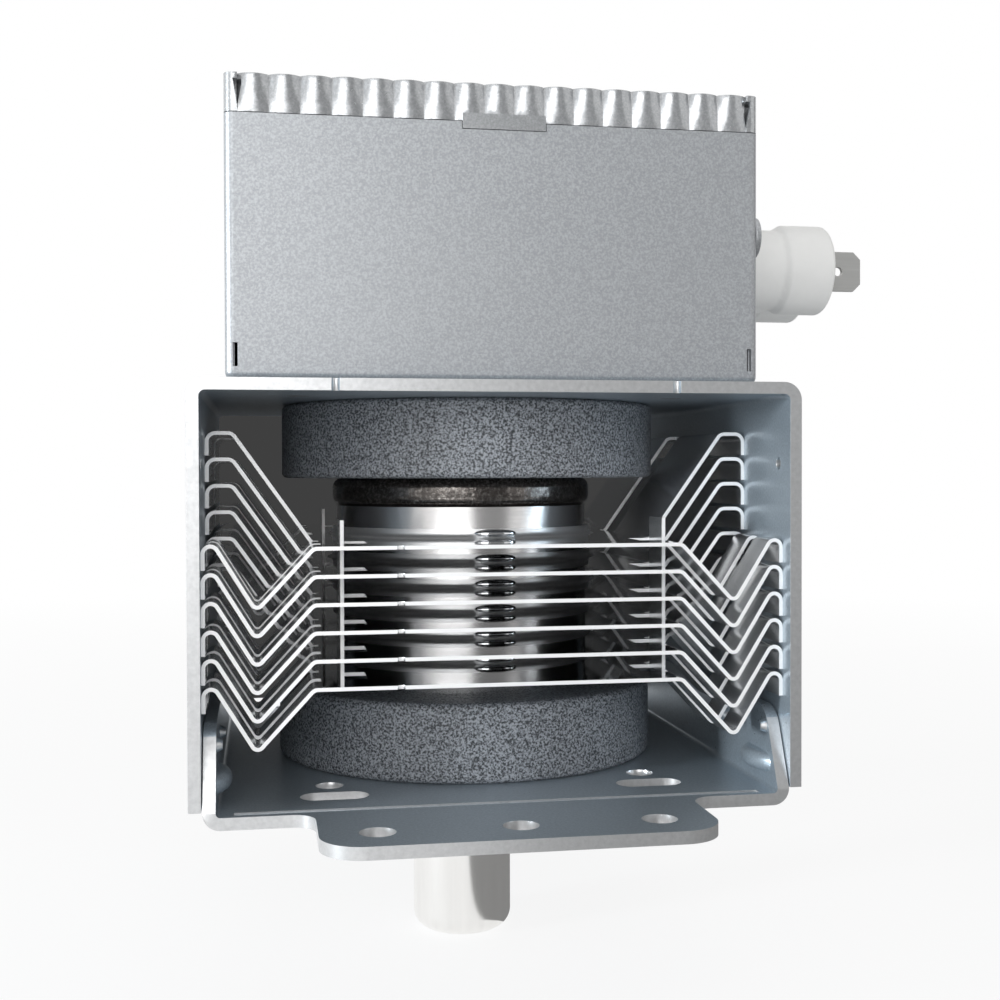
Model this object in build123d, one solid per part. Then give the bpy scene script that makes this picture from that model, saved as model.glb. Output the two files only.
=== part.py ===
from build123d import *
import os

# A magnetron for a microwave oven: a sealed anode tube with cooling fins between two ring magnets,
# held in a folded steel yoke, with a filter case on top and the antenna pointing down.
#
# Frame, in millimetres: Z is up along the tube's axis, X runs to the side that carries the two
# terminals and Y runs to the back. The cooling air passes along Y. The origin lies on the tube's
# axis, in the underside of the mounting plate, at the centre of the four mounting holes.

# Yoke
yoke_width = 80.0
yoke_depth = 81.0
steel_sheet = 1.6
yoke_bend = 2.4
wall_foot_gap = 2.3
wall_pin_hole_radius = 0.85
wall_pin_hole_inset = 4.35
wall_pin_hole_levels = (15.0, 45.5)
top_edge_nick = (17.8, 0.5)
top_edge_nick_shift = 0.6

# Mounting plate
tab_width = 48.8
tab_reach = 16.2
tab_corner = 5.4
tab_root_fillet = 3.0
mounting_row_spacing = 101.0
mounting_hole_pitch = 17.4
mounting_hole_radius = 2.25
plate_slot_length = 9.1
plate_slot_width = 4.3
plate_slot_place = (21.5, 31.3)
plate_hole_radius = 1.9
plate_hole_place = (21.9, 25.2)
flange_height = 12.4
flange_corner = 4.0
flange_slant = 4.6
flange_gap = 0.15
plate_bend = 2.2
groove_inset = 1.7
groove_width = 1.3
groove_depth = 0.3
boss_length = 10.0
boss_height = 2.7
boss_reach = 1.9
boss_round = 1.2
boss_place = (2.6, 3.6)
clinch_radius = 1.0
clinch_reach = 0.8
clinch_place = (4.8, 9.8)
clinch_rear_place = (20.0, 8.6)

# Magnets
magnet_radius = 28.75
magnet_thickness = 11.1
magnet_bore_radius = 10.8
magnet_chamfer = 0.5
upper_magnet_shift = 1.0
lower_magnet_shift = 0.5

# Anode tube
anode_radius = 19.45
anode_wall = 3.3
anode_height = 25.1
seal_ring_radius = 20.0
seal_ring_height = 4.2
seal_sheet = 0.9
lower_flange_thickness = 1.6
neck_radius = 9.6
neck_clearance = 0.6
pole_seat_depth = 1.6
pole_seat_width = 1.2
pole_hub_radius = 8.6
pole_hub_drop = 4.0
pole_hole_radius = 4.6
vane_count = 10
vane_thickness = 1.9
vane_height = 9.5
vane_tip_radius = 4.5
strap_radii = (6.2, 7.7)
strap_width = 0.8
strap_height = 0.8

# Cathode
end_hat_radius = 3.9
end_hat_height = 1.3
end_hat_hole_radius = 1.1
filament_radius = 1.9
filament_wire_radius = 0.35
filament_turns = 5
lead_radius = 0.7
lead_spacing = 11.0
lead_top_rise = 4.0
side_lead_offset = 2.7
lead_bend_radius = 2.0

# Stem and antenna
stem_rise = 3.4
stem_radius = 9.0
stem_height = 9.0
seal_drop = 4.5
antenna_insulator_height = 7.0
antenna_radius = 7.6
antenna_cap_length = 14.75
antenna_cap_sheet = 0.5
antenna_cap_round = 2.7
exhaust_radius = 3.0
exhaust_bore_radius = 2.2
exhaust_hole_radius = 0.9
exhaust_flange = 0.6
exhaust_length = 12.0
pinch_length = 3.0
pinch_thickness = 1.4
antenna_rod_radius = 1.1
antenna_rod_offset = 9.6
rod_clearance = 0.8
gasket_radius = 14.6
gasket_height = 4.4
gasket_round = 1.8
gasket_clearance = 0.4

# Cooling fins
fin_count = 6
fin_pitch = 3.6
fin_start = 2.2
fin_sheet = 0.5
fin_front_gap = 2.7
fin_fold_share = 0.2283
fin_root_overlap = 1.0
fold_bend = 0.8
fin_collar_height = 1.8
fin_collar_base = 0.9
fin_collar_wall = 0.55
vee_run_share = 0.5211
vee_drop = 8.0
vee_peak = 2.2
vee_bottom_bend = 1.0
vee_top_bend = 0.7
vee_lip_end = -2.35
arch_run_share = 0.7535
arch_rise = 15.1
arch_bend = 0.9
arch_lip = 3.3
vee_width = 5.5
second_vee_start = 8.0
arch_start = 15.0
arch_width = 19.4
spacer_left_inset = 3.8
spacer_right_inset = 0.5
spacer_width = 6.2
spacer_start = 6.6
fin_nick_place = 13.2
fin_nick_radius = 0.5

# Filter case and lid
case_width = 70.6
case_depth = 73.6
case_height = 38.6
case_sheet = 0.8
case_corner = 1.2
case_bottom_bend = 0.9
case_relief_width = 0.6
case_relief_height = 3.0
case_relief_inset = 1.0
case_clearance = 1.0
lid_rim_height = 4.9
lid_shoulder_gap = 0.1
lid_flute_count = 17
lid_flute_reach = 0.8
lid_flute_fade = 0.2
lid_lip_span = (-4.9, 6.1)
lid_lip_drop = 1.0
lid_lip_sheet = 0.5
lid_end_inset = 0.9
lid_slit_width = 1.1
lid_slit_depth = 3.4
lid_slit_top = 0.8
case_rivet_radius = 1.5
case_rivet_head_radius = 2.8
case_rivet_head_height = 0.9
case_rivet_place = (26.0, 27.0)

# Filter capacitor, terminals and chokes
terminal_level = 20.1
terminal_spacing = 11.0
body_radius = 6.2
body_reach = 13.6
body_inner_reach = 9.0
body_clearance = 0.2
tower_radius = 7.0
tower_taper = 1.4
tower_reach = 22.0
tower_round = 0.9
blade_reach = 28.8
blade_height = 6.3
blade_thickness = 0.8
blade_corner = 1.2
blade_hole_radius = 0.7
blade_hole_inset = 3.8
conductor_radius = 1.1
conductor_core_gap = 0.5
flange_sheet = 0.8
flange_centre_radius = 11.2
flange_ear_radius = 2.8
flange_ear_place = 33.2
flange_rivet_radius = 0.9
flange_rivet_head_radius = 1.7
flange_rivet_head_height = 0.7
flange_rivet_place = 32.6
coil_wire_radius = 0.75
coil_radius = 4.4
coil_turns = 5
coil_pitch = 2.6
core_length = 18.0

# Levels that follow from the stack of plate, magnet, tube, magnet and yoke
half_width = yoke_width / 2
half_depth = yoke_depth / 2
wall_inside = half_width - steel_sheet
flange_outside = wall_inside - flange_gap
flange_inside = flange_outside - steel_sheet
plate_top = steel_sheet
lower_magnet_top = plate_top + magnet_thickness
anode_bottom = lower_magnet_top + lower_flange_thickness
anode_top = anode_bottom + anode_height
upper_magnet_bottom = anode_top + seal_ring_height
yoke_underside = upper_magnet_bottom + magnet_thickness
yoke_top = yoke_underside + steel_sheet
stem_bottom = yoke_top + stem_rise
stem_top = stem_bottom + stem_height
lead_top = stem_top + lead_top_rise
seal_bottom = -seal_drop
insulator_bottom = seal_bottom - antenna_insulator_height
cap_top = insulator_bottom - exhaust_flange
cap_bottom = cap_top - antenna_cap_length
lid_top = yoke_top + case_height
lid_underside = lid_top - case_sheet
rim_bottom = lid_top - lid_rim_height
case_shoulder = rim_bottom - lid_shoulder_gap
terminal_z = yoke_top + terminal_level
case_side = case_width / 2
case_front = case_depth / 2
coil_length = coil_turns * coil_pitch
conductor_start = (coil_length + core_length) / 2 + conductor_core_gap
anode_bore = anode_radius - anode_wall
pole_radius = anode_bore + pole_seat_width
vane_bottom = (anode_bottom + anode_top - vane_height) / 2
vane_top = vane_bottom + vane_height
hole_clearance_radius = neck_radius + neck_clearance
fin_front = half_depth - fin_front_gap
collar_outside = anode_radius + fin_collar_wall
fin_fold = collar_outside + fin_fold_share * (wall_inside - collar_outside)
strip_span = wall_inside - fin_fold
vee_valley = fin_fold + vee_run_share * strip_span
arch_corner = fin_fold + arch_run_share * strip_span


def ring(outer, inner, bottom, top):
    """A plain tube about the Z axis."""
    height = top - bottom
    tube = Cylinder(outer, height) - Cylinder(inner, height)
    return Pos(0, 0, bottom + height / 2) * tube


def turned(*outline):
    """A solid turned about the Z axis from a closed outline of radius and level."""
    return revolve(Plane.XZ * make_face(Polyline(*outline, close=True)), Axis.Z)


def round_bar(radius, start, end):
    """A straight round bar from one point to another."""
    return extrude(Plane(origin=start, z_dir=Vector(*end) - Vector(*start)) * Circle(radius),
                   (Vector(*end) - Vector(*start)).length)


def bent_rod(radius, bend, *points):
    """A round rod along straight runs joined by round bends."""
    path = FilletPolyline(*points, radius=bend)
    return sweep(Plane(origin=path @ 0, z_dir=path % 0) * Circle(radius), path)


def coiled_wire(wire_radius, coil_radius, pitch, height):
    """A round wire wound about the Z axis from level zero upwards."""
    path = Helix(pitch, height, coil_radius)
    return sweep(Plane(origin=path @ 0, z_dir=path % 0) * Circle(wire_radius), path, is_frenet=True)


def on_both_sides(shape, plane):
    """A shape with its mirror image."""
    return [shape, mirror(shape, plane)]


def in_four_quarters(shape):
    """A shape repeated left, right, front and back of the axis."""
    halves = on_both_sides(shape, Plane.YZ)
    return halves + [mirror(half, Plane.XZ) for half in halves]


def rounded_channel(width, bottom, top, bend):
    """A block as deep as the yoke, its two upper edges rounded."""
    block = Pos(0, 0, (bottom + top) / 2) * Box(width, yoke_depth, top - bottom)
    return fillet(block.edges().filter_by(Axis.Y).group_by(Axis.Z)[-1], bend)


def build_upper_yoke():
    """The folded steel channel that closes the magnetic circuit over the tube."""
    yoke = rounded_channel(yoke_width, wall_foot_gap, yoke_top, yoke_bend)
    yoke -= rounded_channel(2 * wall_inside, wall_foot_gap, yoke_underside, yoke_bend - steel_sheet)
    yoke -= Pos(0, 0, yoke_top) * Cylinder(hole_clearance_radius, 4 * steel_sheet)
    for level in wall_pin_hole_levels:
        for side in (-1, 1):
            yoke -= (Pos(0, side * (half_depth - wall_pin_hole_inset), level)
                     * Rot(0, 90, 0) * Cylinder(wall_pin_hole_radius, yoke_width))
    x, y = case_rivet_place
    nick_inset, nick_radius = top_edge_nick
    cuts = in_four_quarters(Pos(x, y, yoke_top) * Cylinder(case_rivet_radius, 4 * steel_sheet))
    cuts += [Pos(top_edge_nick_shift, 0, 0) * nick
             for nick in in_four_quarters(Pos(half_width - nick_inset, half_depth, yoke_top)
                                          * Cylinder(nick_radius, 4 * steel_sheet))]
    for cut in cuts:
        yoke -= cut
    return yoke


def pressed_boss():
    """A long round-topped boss pressed in from the right-hand flange."""
    inset, bottom = boss_place
    front = half_depth - inset
    middle = front - boss_length / 2
    back = front - boss_length
    root = flange_inside + steel_sheet / 2
    outline = Polyline((flange_inside, front), (root, front), (root, back), (flange_inside, back))
    outline += ThreePointArc((flange_inside, back), (flange_inside - boss_reach, middle),
                             (flange_inside, front))
    boss = extrude(make_face(outline), boss_height)
    return Pos(0, 0, bottom) * fillet(boss.edges().filter_by(GeomType.CIRCLE), boss_round)


def flange_details():
    """The bosses and the clinch buttons that stand in from the right-hand flange."""
    details = on_both_sides(pressed_boss(), Plane.XZ)
    clinch = Cone(clinch_radius, clinch_radius - clinch_reach / 2, clinch_reach)
    for inset, level in (clinch_place, clinch_rear_place):
        button = (Pos(flange_inside - clinch_reach / 2, half_depth - inset, level)
                  * Rot(0, -90, 0) * clinch)
        details += on_both_sides(button, Plane.XZ)
    return details


def build_mounting_plate():
    """The lower steel channel: mounting plate, tabs with holes, and upright flanges inside the walls."""
    plate = Pos(0, 0, flange_height / 2) * Box(2 * flange_outside, yoke_depth, flange_height)
    plate = fillet(plate.edges().filter_by(Axis.Y).group_by(Axis.Z)[0], plate_bend)
    hollow = Pos(0, 0, flange_height / 2 + steel_sheet) * Box(2 * flange_inside, yoke_depth, flange_height)
    hollow = fillet(hollow.edges().filter_by(Axis.Y).group_by(Axis.Z)[0], plate_bend - steel_sheet)
    plate -= hollow
    upper = half_depth - flange_slant
    side_view = make_face(Polyline((-half_depth, 0), (half_depth, 0), (half_depth, plate_bend),
                                   (upper, flange_height), (-upper, flange_height),
                                   (-half_depth, plate_bend), close=True))
    side_view = fillet([v for v in side_view.vertices() if v.Y > flange_height / 2], flange_corner)
    side = Plane(origin=(-half_width, 0, 0), x_dir=(0, 1, 0), z_dir=(1, 0, 0))
    plate &= extrude(side * side_view, yoke_width)
    tabs = Rectangle(tab_width, yoke_depth + 2 * tab_reach)
    tabs = fillet(tabs.vertices(), tab_corner)
    plate += extrude(tabs, steel_sheet)
    near = steel_sheet / 4
    roots = [e for e in plate.edges().filter_by(Axis.Z)
             if abs(abs(e.center().X) - tab_width / 2) < near
             and abs(abs(e.center().Y) - half_depth) < near]
    plate = fillet(roots, tab_root_fillet)
    for detail in flange_details():
        plate += on_both_sides(detail, Plane.YZ)
    plate -= Cylinder(hole_clearance_radius, 4 * steel_sheet)
    for column in (-1, 0, 1):
        for row in (-1, 1):
            plate -= (Pos(column * mounting_hole_pitch, row * mounting_row_spacing / 2, 0)
                      * Cylinder(mounting_hole_radius, 4 * steel_sheet))
    x, y = plate_hole_place
    cuts = in_four_quarters(Pos(x, y, 0) * Cylinder(plate_hole_radius, 4 * steel_sheet))
    x, y = plate_slot_place
    slot = extrude(SlotOverall(plate_slot_length, plate_slot_width), 4 * steel_sheet)
    cuts += in_four_quarters(Pos(x, y, -steel_sheet) * slot)
    groove = (Pos(0, half_depth - groove_inset, steel_sheet)
              * Box(2 * (flange_inside - plate_bend), groove_width, 2 * groove_depth))
    cuts += on_both_sides(groove, Plane.XZ)
    for cut in cuts:
        plate -= cut
    return plate


def build_magnet(bottom, shift):
    """A ferrite ring magnet with slightly broken edges, set a little off the tube's axis."""
    magnet = ring(magnet_radius, magnet_bore_radius, bottom, bottom + magnet_thickness)
    return Pos(shift, 0, 0) * chamfer(magnet.edges().filter_by(GeomType.CIRCLE), magnet_chamfer)


def strip_section(points, bends):
    """The end view of a bent fin strip: one sheet thickness laid along a bent line."""
    line = FilletPolyline(*points, radius=bends)
    return Plane.XZ * make_face(offset(line, amount=fin_sheet, side=Side.LEFT))


def bent_strip(section, start, width):
    """A strip of the fin's right-hand side, set back from the fin's front edge."""
    strip = extrude(section, width, dir=(0, 1, 0))
    return Pos(0, -fin_front + start, 0) * strip


def build_fin():
    """One cooling fin at level zero: a plate with a collar, spacers, and side strips bent to the walls."""
    lip = wall_inside - fin_sheet
    root = fin_fold - fin_root_overlap
    vee = strip_section([(root, 0), (fin_fold, 0), (vee_valley, -vee_drop), (lip, vee_peak),
                         (lip, vee_lip_end)], [fold_bend, vee_bottom_bend, vee_top_bend])
    arch = strip_section([(root, 0), (fin_fold, 0), (arch_corner, arch_rise), (lip, arch_rise),
                          (lip, arch_rise + fin_sheet - arch_lip)], [fold_bend, arch_bend, arch_bend])
    fin = Pos(0, 0, fin_sheet / 2) * Box(2 * root, 2 * fin_front, fin_sheet)
    for section, start, width in ((vee, 0, vee_width), (vee, second_vee_start, vee_width),
                                  (arch, arch_start, arch_width)):
        for strip in in_four_quarters(bent_strip(section, start, width)):
            fin += strip
    collar = Pos(0, 0, fin_collar_height / 2) * Cylinder(collar_outside, fin_collar_height)
    fin += collar
    base = [e for e in fin.edges().filter_by(GeomType.CIRCLE)
            if e.radius > anode_radius and abs(e.center().Z - fin_sheet) < fin_sheet / 4]
    fin = fillet(base, fin_collar_base)
    fin -= Cylinder(anode_radius, 4 * fin_collar_height)
    rise = fin_pitch - fin_sheet
    for inset, side in ((spacer_left_inset, -1), (spacer_right_inset, 1)):
        place = fin_fold - inset
        centre = fin_front - spacer_start - spacer_width / 2
        window_centre = side * (place - rise / 2 - fin_sheet / 2)
        window = Pos(window_centre, centre, 0) * Box(rise, spacer_width, 4 * fin_sheet)
        tab = Pos(side * place, centre, fin_pitch / 2) * Box(fin_sheet, spacer_width, fin_pitch)
        for cut in on_both_sides(window, Plane.XZ):
            fin -= cut
        for spacer in on_both_sides(tab, Plane.XZ):
            fin += spacer
    nick = Pos(-fin_nick_place, fin_front, 0) * Cylinder(fin_nick_radius, 4 * fin_sheet)
    for cut in on_both_sides(nick, Plane.XZ):
        fin -= cut
    return fin


def build_anode_cylinder():
    """The copper wall of the tube, with a seat at each end for a pole piece."""
    cylinder = ring(anode_radius, anode_bore, anode_bottom, anode_top)
    cylinder -= ring(pole_radius, anode_bore, anode_bottom, anode_bottom + pole_seat_depth)
    cylinder -= ring(pole_radius, anode_bore, anode_top - pole_seat_depth, anode_top)
    return cylinder


def build_vanes():
    """The copper vanes that part the cavities, reaching in from the cylinder's bore."""
    ring_space = ring(anode_bore, vane_tip_radius, vane_bottom, vane_top)
    middle = (vane_bottom + vane_top) / 2
    vanes = []
    for number in range(vane_count):
        blade = Pos(anode_bore / 2, 0, middle) * Box(anode_bore, vane_thickness, 2 * vane_height)
        blade = Rot(0, 0, 360 * number / vane_count) * blade
        vanes += (blade & ring_space).solids()
    return Compound(children=vanes)


def build_strap_rings():
    """The two pairs of strapping rings brazed across the ends of the vanes."""
    rings = []
    for radius in strap_radii:
        for bottom in (vane_top, vane_bottom - strap_height):
            rings.append(ring(radius + strap_width / 2, radius - strap_width / 2,
                              bottom, bottom + strap_height))
    return Compound(children=rings)


def build_pole_piece(face, inward):
    """A dished iron disc that carries the magnet's field to the end of the vanes."""
    seat = face + inward * pole_seat_depth
    hub = seat + inward * (pole_hub_drop - pole_seat_depth)
    dish = hub - inward * pole_seat_depth
    slope_radius = pole_hub_radius + pole_hub_drop
    return turned((pole_radius, face), (pole_radius, seat), (slope_radius, seat),
                  (pole_hub_radius, hub), (pole_hole_radius, hub), (pole_hole_radius, dish),
                  (pole_hub_radius - seal_sheet, dish), (slope_radius - seal_sheet, face))


def build_lower_pole_piece():
    """The lower pole piece, with the hole through which the antenna rod passes."""
    passage = Cylinder(antenna_rod_radius + rod_clearance, 4 * pole_hub_drop)
    return build_pole_piece(anode_bottom, 1) - Pos(antenna_rod_offset, 0, anode_bottom) * passage


def build_upper_seal_cup():
    """The dark iron cup under the upper magnet, with the neck that carries the stem."""
    inner = neck_radius - seal_sheet
    top = upper_magnet_bottom
    return turned((seal_ring_radius, anode_top), (seal_ring_radius, top), (neck_radius, top),
                  (neck_radius, stem_bottom), (inner, stem_bottom), (inner, top - seal_sheet),
                  (anode_bore, top - seal_sheet), (anode_bore, anode_top))


def build_lower_seal_cup():
    """The iron cup over the lower magnet, with the neck that carries the antenna."""
    inner = neck_radius - seal_sheet
    floor = lower_magnet_top + seal_sheet / 2
    return turned((anode_radius, anode_bottom), (anode_radius, lower_magnet_top),
                  (neck_radius, lower_magnet_top), (neck_radius, seal_bottom), (inner, seal_bottom),
                  (inner, floor), (anode_bore, floor), (anode_bore, anode_bottom))


def build_filament():
    """The coiled cathode between the end hats."""
    height = vane_height - 2 * filament_wire_radius
    wire = coiled_wire(filament_wire_radius, filament_radius, height / filament_turns, height)
    return Pos(0, 0, vane_bottom + filament_wire_radius) * wire


def build_upper_end_hat():
    """The upper end disc of the cathode, pierced for the centre lead."""
    return ring(end_hat_radius, end_hat_hole_radius, vane_top, vane_top + end_hat_height)


def build_lower_end_hat():
    """The lower end disc of the cathode."""
    return Pos(0, 0, vane_bottom - end_hat_height / 2) * Cylinder(end_hat_radius, end_hat_height)


def build_centre_lead():
    """The lead that runs down the middle of the filament to the lower hat."""
    side = -lead_spacing / 2
    return bent_rod(lead_radius, lead_bend_radius, (0, side, lead_top), (0, side, yoke_top),
                    (0, 0, yoke_underside - steel_sheet), (0, 0, vane_bottom))


def build_side_lead():
    """The lead that ends on the upper hat."""
    side = lead_spacing / 2
    inner = side_lead_offset
    return bent_rod(lead_radius, lead_bend_radius, (0, side, lead_top), (0, side, yoke_top),
                    (0, inner, yoke_underside - steel_sheet), (0, inner, vane_top + end_hat_height))


def build_stem_insulator():
    """The ceramic stem on the upper neck, with the two leads through it."""
    stem = Pos(0, 0, stem_bottom + stem_height / 2) * Cylinder(neck_radius, stem_height)
    stem -= ring(neck_radius, stem_radius, stem_bottom + 2 * seal_sheet, stem_top)
    stem = chamfer(stem.edges().filter_by(GeomType.CIRCLE).sort_by(Axis.Z)[-1], seal_sheet)
    for side in (-1, 1):
        stem -= Pos(0, side * lead_spacing / 2, stem_bottom) * Cylinder(lead_radius, 4 * stem_height)
    return stem


def build_antenna_insulator():
    """The ceramic ring between the lower neck and the antenna."""
    insulator = ring(antenna_radius, exhaust_radius + seal_sheet, insulator_bottom, seal_bottom)
    return insulator + ring(neck_radius, exhaust_radius + seal_sheet, seal_bottom - seal_sheet, seal_bottom)


def build_exhaust_tube():
    """The copper exhaust tube under the antenna cap, pinched shut on the antenna rod."""
    end = cap_top - exhaust_length
    tube = ring(exhaust_radius, exhaust_bore_radius, end + pinch_length, insulator_bottom)
    tube += ring(antenna_radius, exhaust_bore_radius, cap_top, insulator_bottom)
    pinch = Pos(0, 0, end + pinch_length / 2) * Box(2 * exhaust_radius, pinch_thickness, pinch_length)
    shoulder = end + pinch_length
    return tube + pinch + ring(exhaust_radius, exhaust_hole_radius, shoulder, shoulder + exhaust_flange)


def build_antenna_rod():
    """The copper rod from a vane to the pinched end of the exhaust tube."""
    start = vane_bottom
    end = cap_top - exhaust_length + pinch_length + exhaust_flange
    return bent_rod(antenna_rod_radius, lead_bend_radius, (antenna_rod_offset, 0, start),
                    (antenna_rod_offset, 0, anode_bottom + antenna_rod_radius),
                    (0, 0, lower_magnet_top - antenna_rod_offset / 2),
                    (0, 0, end))


def build_antenna_cap():
    """The drawn steel cap over the antenna, with a rounded end."""
    cap = Pos(0, 0, (cap_top + cap_bottom) / 2) * Cylinder(antenna_radius, antenna_cap_length)
    cap = fillet(cap.edges().filter_by(GeomType.CIRCLE).sort_by(Axis.Z)[0], antenna_cap_round)
    return offset(cap, -antenna_cap_sheet, openings=cap.faces().sort_by(Axis.Z)[-1])


def build_gasket():
    """The braided wire ring that seals the oven's waveguide against the plate."""
    gasket = ring(gasket_radius, neck_radius + gasket_clearance, -gasket_height, 0)
    return fillet(gasket.edges().filter_by(GeomType.CIRCLE).group_by(Axis.Z)[0], gasket_round)


def fluted_edge(length, reach):
    """The outer line of one side of the lid's rim: a row of round flutes between creases."""
    pitch = length / lid_flute_count
    line = []
    for number in range(lid_flute_count):
        left = -length / 2 + number * pitch
        line.append(ThreePointArc((left, 0), (left + pitch / 2, reach), (left + pitch, 0)))
    return line


def rim_section(length, reach):
    """A level section of one side of the rim, its flutes of this reach and their tops in one line."""
    half = length / 2
    crease = lid_flute_reach - reach
    front = [Pos(0, crease, 0) * arc for arc in fluted_edge(length, reach)]
    back = Polyline((half, crease), (half, -case_sheet), (-half, -case_sheet), (-half, crease))
    return make_face(Curve() + front + back.edges())


def rim_side(length):
    """One side of the rim, its flutes fading downwards, one sheet before its inner face."""
    return loft([rim_section(length, lid_flute_fade),
                 Pos(0, 0, lid_rim_height) * rim_section(length, lid_flute_reach)], ruled=True)


def lid_slit(distance, place):
    """A tapered slit in the front rim beside a corner, wide at the top."""
    top = lid_top - lid_slit_top
    half = lid_slit_width / 2
    outline = Polyline((place - half, top), (place + half, top), (place + half, top - half),
                       (place, top - lid_slit_depth), close=True)
    return extrude(Plane.XZ.offset(distance) * make_face(outline), 2 * lid_flute_reach, both=True)


def lid_lip(clearance):
    """The longer stretch of the front rim that laps over the case, grown by a clearance."""
    left, right = lid_lip_span
    height = lid_lip_drop + 2 * lid_lip_sheet
    return (Pos((left + right) / 2, lid_lip_sheet / 2 - case_front, rim_bottom - lid_lip_drop - clearance)
            * Box(right - left + 2 * clearance, lid_lip_sheet + 2 * clearance, height,
                  align=(Align.CENTER, Align.CENTER, Align.MIN)))


def build_lid():
    """The filter case's lid: a flat top whose rim is crimped round the case in flutes."""
    crease_side = case_side - lid_flute_reach
    crease_front = case_front - lid_flute_reach
    lid = Pos(0, 0, (rim_bottom + lid_top) / 2) * Box(2 * crease_side, 2 * crease_front, lid_rim_height)
    lid -= (Pos(0, 0, (rim_bottom + lid_underside) / 2)
            * Box(2 * (crease_side - case_sheet), 2 * (crease_front - case_sheet),
                  lid_underside - rim_bottom))
    for corner in in_four_quarters(Pos(case_side, case_front, rim_bottom)
                                   * Box(lid_end_inset + lid_flute_reach, lid_end_inset + lid_flute_reach,
                                         lid_rim_height, align=(Align.MAX, Align.MAX, Align.MIN))):
        lid += corner
    neck = Box(2 * (crease_side - case_sheet), 2 * (crease_front - case_sheet), 2 * lid_rim_height)
    lid -= Pos(0, 0, lid_underside - lid_rim_height) * neck
    lid = fillet([e for e in lid.edges().filter_by(Axis.Z)
                  if abs(e.center().X) > crease_side and abs(e.center().Y) > crease_front], case_corner)
    for length, distance, turn in ((2 * (crease_side - lid_end_inset), crease_front, 0),
                                   (2 * (crease_front - lid_end_inset), crease_side, 90)):
        for half_turn in (0, 180):
            lid += Rot(0, 0, turn + half_turn) * Pos(0, distance, rim_bottom) * rim_side(length)
    slit_place = crease_side - lid_end_inset
    for side in (-1, 1):
        for face in (-1, 1):
            lid -= lid_slit(face * crease_front, side * slit_place)
    return lid + lid_lip(0)


def capacitor_outline(radius):
    """The round-ended outline that surrounds both terminals."""
    return SlotCenterToCenter(terminal_spacing, radius * 2)


def side_plane(x):
    """A plane across the terminals' direction, its X axis along the part's Y axis."""
    return Plane(origin=(x, 0, terminal_z), x_dir=(0, 1, 0), z_dir=(1, 0, 0))


def build_case():
    """The folded filter case, with a shoulder that carries the lid's rim."""
    lower_height = case_shoulder - yoke_top
    outside = Pos(0, 0, yoke_top + lower_height / 2) * Box(case_width, case_depth, lower_height)
    outside = fillet(outside.edges().filter_by(Axis.Z), case_corner)
    outside = fillet(outside.faces().sort_by(Axis.Z)[0].edges(), case_bottom_bend)
    neck_side = case_side - lid_flute_reach - case_sheet
    neck_front = case_front - lid_flute_reach - case_sheet
    upper_height = lid_underside - case_shoulder
    neck = Pos(0, 0, case_shoulder + upper_height / 2) * Box(2 * neck_side, 2 * neck_front, upper_height)
    neck = fillet(neck.edges().filter_by(Axis.Z), case_corner)
    inner_height = lid_underside - yoke_top - case_sheet
    inside = (Pos(0, 0, lid_underside - inner_height / 2)
              * Box(2 * (neck_side - case_sheet), 2 * (neck_front - case_sheet), inner_height))
    inside = fillet(inside.edges().filter_by(Axis.Z), case_corner - case_sheet)
    wide_height = lower_height - 2 * case_sheet
    inside += fillet((Pos(0, 0, yoke_top + case_sheet + wide_height / 2)
                      * Box(case_width - 2 * case_sheet, case_depth - 2 * case_sheet, wide_height)
                      ).edges().filter_by(Axis.Z), case_corner - case_sheet)
    case = outside + neck - inside
    case -= Pos(0, 0, yoke_top) * Cylinder(neck_radius + case_clearance, 4 * case_sheet)
    opening = capacitor_outline(body_radius + body_clearance)
    case -= extrude(side_plane(case_side - 3 * case_sheet) * opening, 6 * case_sheet)
    for side in (-1, 1):
        case -= (Pos(case_side, side * flange_rivet_place, terminal_z) * Rot(0, 90, 0)
                 * Cylinder(flange_rivet_radius, 4 * case_sheet))
    x, y = case_rivet_place
    cuts = in_four_quarters(Pos(x, y, yoke_top) * Cylinder(case_rivet_radius, 4 * case_sheet))
    relief = Box(case_relief_width, 2 * case_sheet, case_relief_height)
    cuts += in_four_quarters(Pos(case_side - case_relief_width / 2 - case_relief_inset, case_front,
                                 yoke_top + 2 * case_sheet + case_relief_height / 2) * relief)
    for cut in cuts:
        case -= cut
    return case - lid_lip(lid_shoulder_gap)


def rivet(shank_radius, head_radius, head_height, start, grip):
    """A rivet along Z with a bevelled head above the sheets that it grips."""
    face = start + grip
    return turned((0, start), (shank_radius, start), (shank_radius, face), (head_radius, face),
                  (head_radius - head_height / 2, face + head_height), (0, face + head_height))


def build_case_rivets():
    """The four rivets that hold the case on the yoke."""
    x, y = case_rivet_place
    piece = rivet(case_rivet_radius, case_rivet_head_radius, case_rivet_head_height,
                  yoke_underside, steel_sheet + case_sheet)
    return Compound(children=in_four_quarters(Pos(x, y, 0) * piece))


def build_capacitor_flange():
    """The eared metal flange that holds the capacitor on the side of the case."""
    outline = Sketch() + make_hull([edge for circle in (
        Circle(flange_centre_radius), Pos(flange_ear_place, 0) * Circle(flange_ear_radius),
        Pos(-flange_ear_place, 0) * Circle(flange_ear_radius)) for edge in circle.edges()])
    flange = extrude(side_plane(case_side) * outline, flange_sheet)
    opening = capacitor_outline(body_radius)
    flange -= extrude(side_plane(case_side - flange_sheet) * opening, 4 * flange_sheet)
    for side in (-1, 1):
        flange -= (Pos(case_side, side * flange_rivet_place, terminal_z) * Rot(0, 90, 0)
                   * Cylinder(flange_rivet_radius, 4 * flange_sheet))
    return flange


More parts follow.
